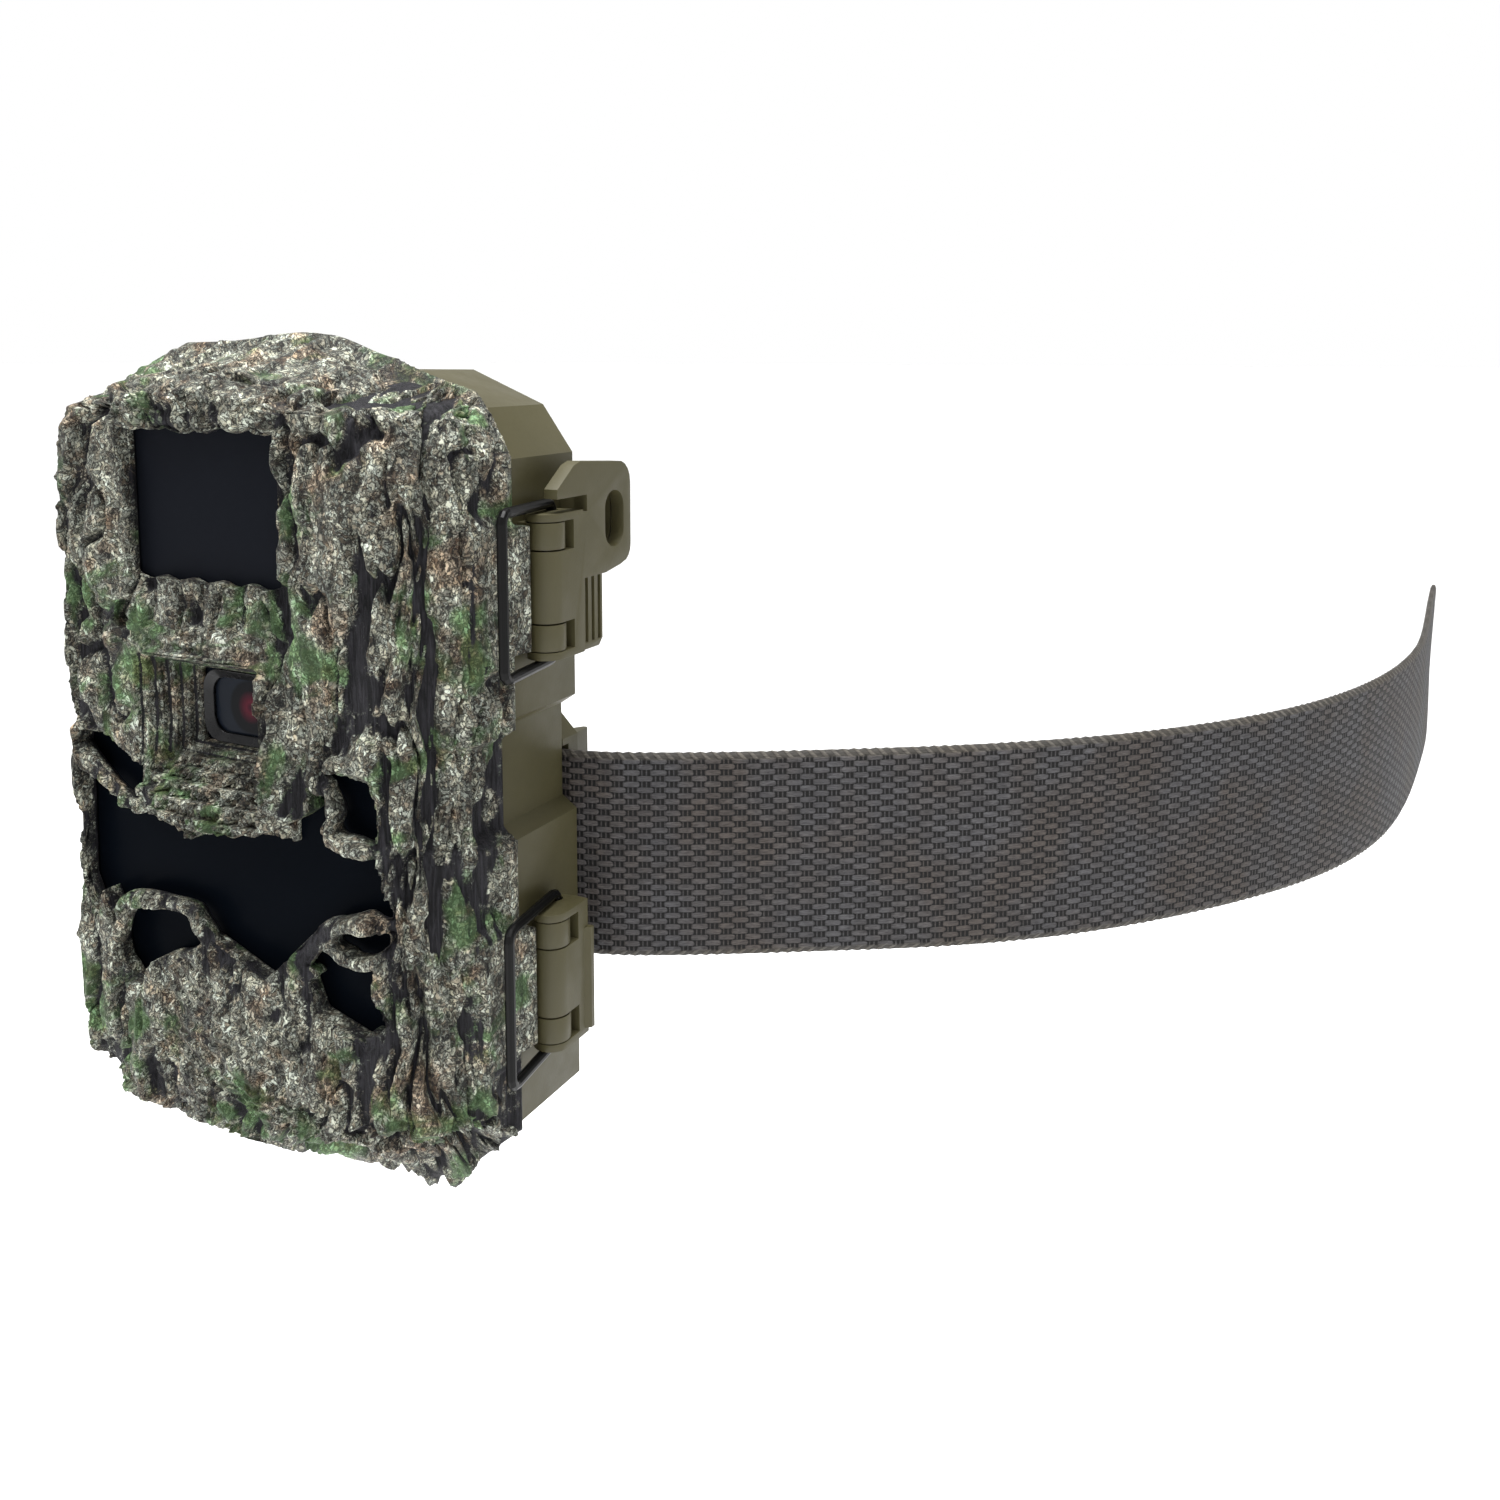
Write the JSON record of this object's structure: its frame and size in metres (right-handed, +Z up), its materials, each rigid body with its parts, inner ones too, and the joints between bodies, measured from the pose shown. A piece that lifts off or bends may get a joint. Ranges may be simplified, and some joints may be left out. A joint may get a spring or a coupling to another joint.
{
  "type": "trail camera",
  "caption": "Strap-on trail camera with a hinged bark-relief front cover, an olive rear case and wire-bail latches.",
  "frame": {"origin": "middle of the tree bracket's flat rear pad, at the height of the strap's centre line", "axes": "+Z up, the lens looks along -Y and the tree is on the +Y side, latches on the +X side and door hinge on the -X side"},
  "size_m": [0.2823, 0.315, 0.149],
  "materials": {
    "olive_plastic": "fine spark-eroded texture, olive drab",
    "bark_camo": "moulded bark relief, dipped in a bark camouflage film under matt lacquer",
    "window_black": "satin infrared-pass black acrylic",
    "lens_pane": "coated clear window",
    "optics_glass": "coated glass with a red-purple reflex",
    "bail_wire": "black coated spring wire",
    "steel": "plain bright steel",
    "buckle_steel": "black powder coat",
    "webbing": "coarse woven polypropylene webbing, grey-brown and charcoal yarns",
    "seal_rubber": "soft matt gasket rubber",
    "inner_plastic": "fine matt black moulding",
    "screen": "dark liquid-crystal screen",
    "key_plastic": "grey matt keys",
    "circuit_board": "green solder mask",
    "brass": "turned brass",
    "cell_jacket": "plain printed battery sleeve with metal ends",
    "card_plastic": "plain moulded memory card"
  },
  "bodies": {
    "rear": {"rear_case": "olive_plastic", "case_seal": "seal_rubber", "tripod_insert": "brass", "tree_bracket": "olive_plastic", "bracket_screw_upper": "steel", "bracket_screw_lower": "steel", "strap": "webbing", "buckle_frame": "buckle_steel", "buckle_pin": "steel", "battery_tray": "inner_plastic", "battery_1": "cell_jacket", "battery_2": "cell_jacket", "battery_3": "cell_jacket", "battery_4": "cell_jacket", "battery_5": "cell_jacket", "battery_6": "cell_jacket", "battery_7": "cell_jacket", "battery_8": "cell_jacket", "contact_strip_top": "brass", "contact_strip_mid_upper": "brass", "contact_strip_mid_lower": "brass", "contact_strip_foot": "brass", "hinge_pin_upper": "steel", "hinge_pin_lower": "steel", "upper_latch_pin": "steel", "lower_latch_pin": "steel"},
    "front": {"front_cover": "bark_camo", "ir_window": "window_black", "pir_window": "window_black", "lens_window": "lens_pane", "led_board": "circuit_board", "light_sensor": "window_black", "lens_barrel": "inner_plastic", "lens_glass": "optics_glass", "image_board": "circuit_board", "pir_sensor": "steel", "main_board": "circuit_board", "inner_panel": "inner_plastic", "lcd_screen": "screen", "sd_socket": "steel", "usb_socket": "steel"},
    "buckle_cam": {"buckle_cam": "buckle_steel"},
    "ir_cut_filter": {"ir_cut_filter": "optics_glass"},
    "sd_card": {"sd_card": "card_plastic"},
    "power_switch": {"power_switch": "key_plastic"},
    "button_ok": {"button_ok": "key_plastic"},
    "button_up": {"button_up": "key_plastic"},
    "button_down": {"button_down": "key_plastic"},
    "button_left": {"button_left": "key_plastic"},
    "button_right": {"button_right": "key_plastic"},
    "button_menu": {"button_menu": "key_plastic"},
    "upper_lever": {"upper_lever": "olive_plastic"},
    "upper_bail": {"upper_bail": "bail_wire"},
    "lower_lever": {"lower_lever": "olive_plastic"},
    "lower_bail": {"lower_bail": "bail_wire"}
  },
  "joints": [
    {"name": "front_cover_hinge", "type": "hinge", "parent": "rear", "child": "front", "pos_m": [-0.05, -0.0305, 0.0165], "axis": [0, 0, -1], "range_deg": [0, 110]},
    {"name": "upper_lever_hinge", "type": "hinge", "parent": "rear", "child": "upper_lever", "pos_m": [0.0487, -0.0242, 0.0521], "axis": [0, 0, -1], "range_deg": [0, 105]},
    {"name": "upper_bail_hinge", "type": "hinge", "parent": "upper_lever", "child": "upper_bail", "pos_m": [0.0472, -0.02, 0.0521], "axis": [0, 0, -1], "range_deg": [-105, 0]},
    {"name": "lower_lever_hinge", "type": "hinge", "parent": "rear", "child": "lower_lever", "pos_m": [0.0487, -0.0242, -0.0162], "axis": [0, 0, -1], "range_deg": [0, 105]},
    {"name": "lower_bail_hinge", "type": "hinge", "parent": "lower_lever", "child": "lower_bail", "pos_m": [0.0472, -0.02, -0.0162], "axis": [0, 0, -1], "range_deg": [-105, 0]},
    {"name": "buckle_cam_hinge", "type": "hinge", "parent": "rear", "child": "buckle_cam", "pos_m": [-0.08193, 0.01532, 0], "axis": [0, 0, -1], "range_deg": [0, 90]},
    {"name": "power_switch_slide", "type": "slide", "parent": "front", "child": "power_switch", "axis": [1, 0, 0], "range_m": [0, 0.008]},
    {"name": "button_ok_press", "type": "slide", "parent": "front", "child": "button_ok", "axis": [0, -1, 0], "range_m": [0, 0.0005], "stiffness_N_per_m": 400},
    {"name": "button_up_press", "type": "slide", "parent": "front", "child": "button_up", "axis": [0, -1, 0], "range_m": [0, 0.0005], "stiffness_N_per_m": 400},
    {"name": "button_down_press", "type": "slide", "parent": "front", "child": "button_down", "axis": [0, -1, 0], "range_m": [0, 0.0005], "stiffness_N_per_m": 400},
    {"name": "button_left_press", "type": "slide", "parent": "front", "child": "button_left", "axis": [0, -1, 0], "range_m": [0, 0.0005], "stiffness_N_per_m": 400},
    {"name": "button_right_press", "type": "slide", "parent": "front", "child": "button_right", "axis": [0, -1, 0], "range_m": [0, 0.0005], "stiffness_N_per_m": 400},
    {"name": "button_menu_press", "type": "slide", "parent": "front", "child": "button_menu", "axis": [0, -1, 0], "range_m": [0, 0.0005], "stiffness_N_per_m": 400},
    {"name": "sd_card_slide", "type": "slide", "parent": "front", "child": "sd_card", "axis": [0, 0, -1], "range_m": [0, 0.004]},
    {"name": "ir_cut_filter_slide", "type": "slide", "parent": "front", "child": "ir_cut_filter", "axis": [1, 0, 0], "range_m": [0, 0.005]}
  ],
  "couplings": [
    {"joint": "upper_bail_hinge", "follows": "upper_lever_hinge", "ratio": -1},
    {"joint": "lower_bail_hinge", "follows": "lower_lever_hinge", "ratio": -1}
  ]
}
